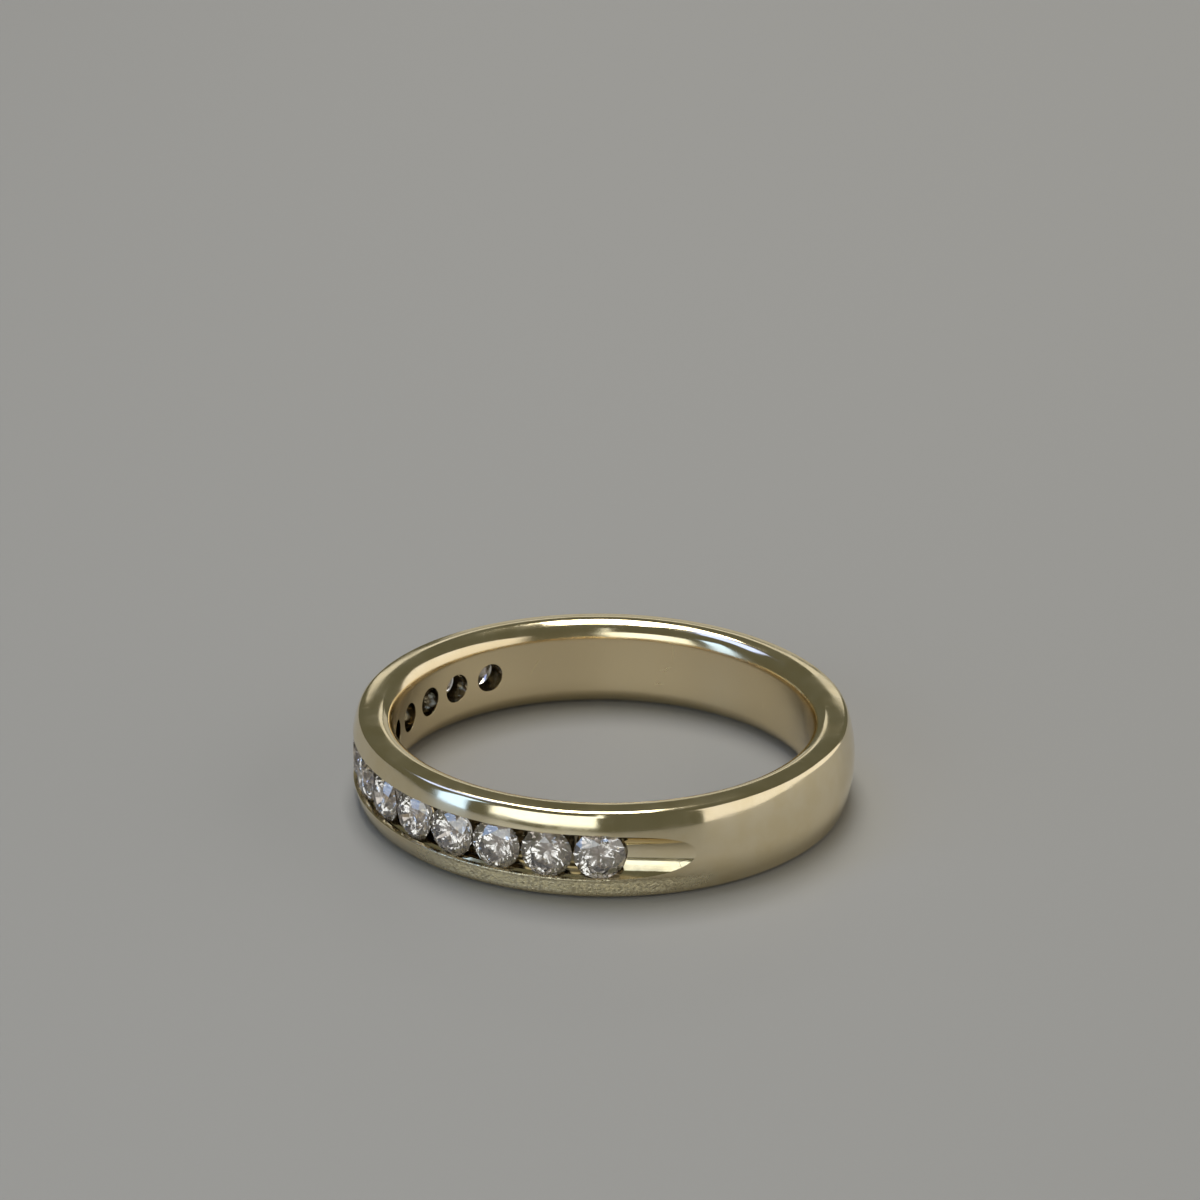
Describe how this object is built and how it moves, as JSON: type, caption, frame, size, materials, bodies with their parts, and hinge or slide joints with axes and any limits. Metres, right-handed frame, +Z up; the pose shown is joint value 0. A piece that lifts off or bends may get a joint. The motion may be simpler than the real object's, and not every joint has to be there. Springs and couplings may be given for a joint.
{
  "type": "channel set band ring",
  "caption": "Yellow gold finger ring: domed band with a channel of round brilliant stones set flush between two rails round its front half.",
  "frame": {"origin": "on the ring's axis, at the surface that the ring rests on as it lies on its side", "axes": "+Z up along the finger bore's axis, -Y out through the table of the middle stone, +X to the right of the stones as seen from outside"},
  "size_m": [0.0208, 0.0208, 0.0038],
  "materials": {
    "gold": "polished, lightly scratched",
    "diamond": "polished facets"
  },
  "bodies": {
    "root": {"band": "gold", "stone_01": "diamond", "stone_02": "diamond", "stone_03": "diamond", "stone_04": "diamond", "stone_05": "diamond", "stone_06": "diamond", "stone_07": "diamond", "stone_08": "diamond", "stone_09": "diamond", "stone_10": "diamond", "stone_11": "diamond", "stone_12": "diamond", "stone_13": "diamond"}
  },
  "joints": []
}
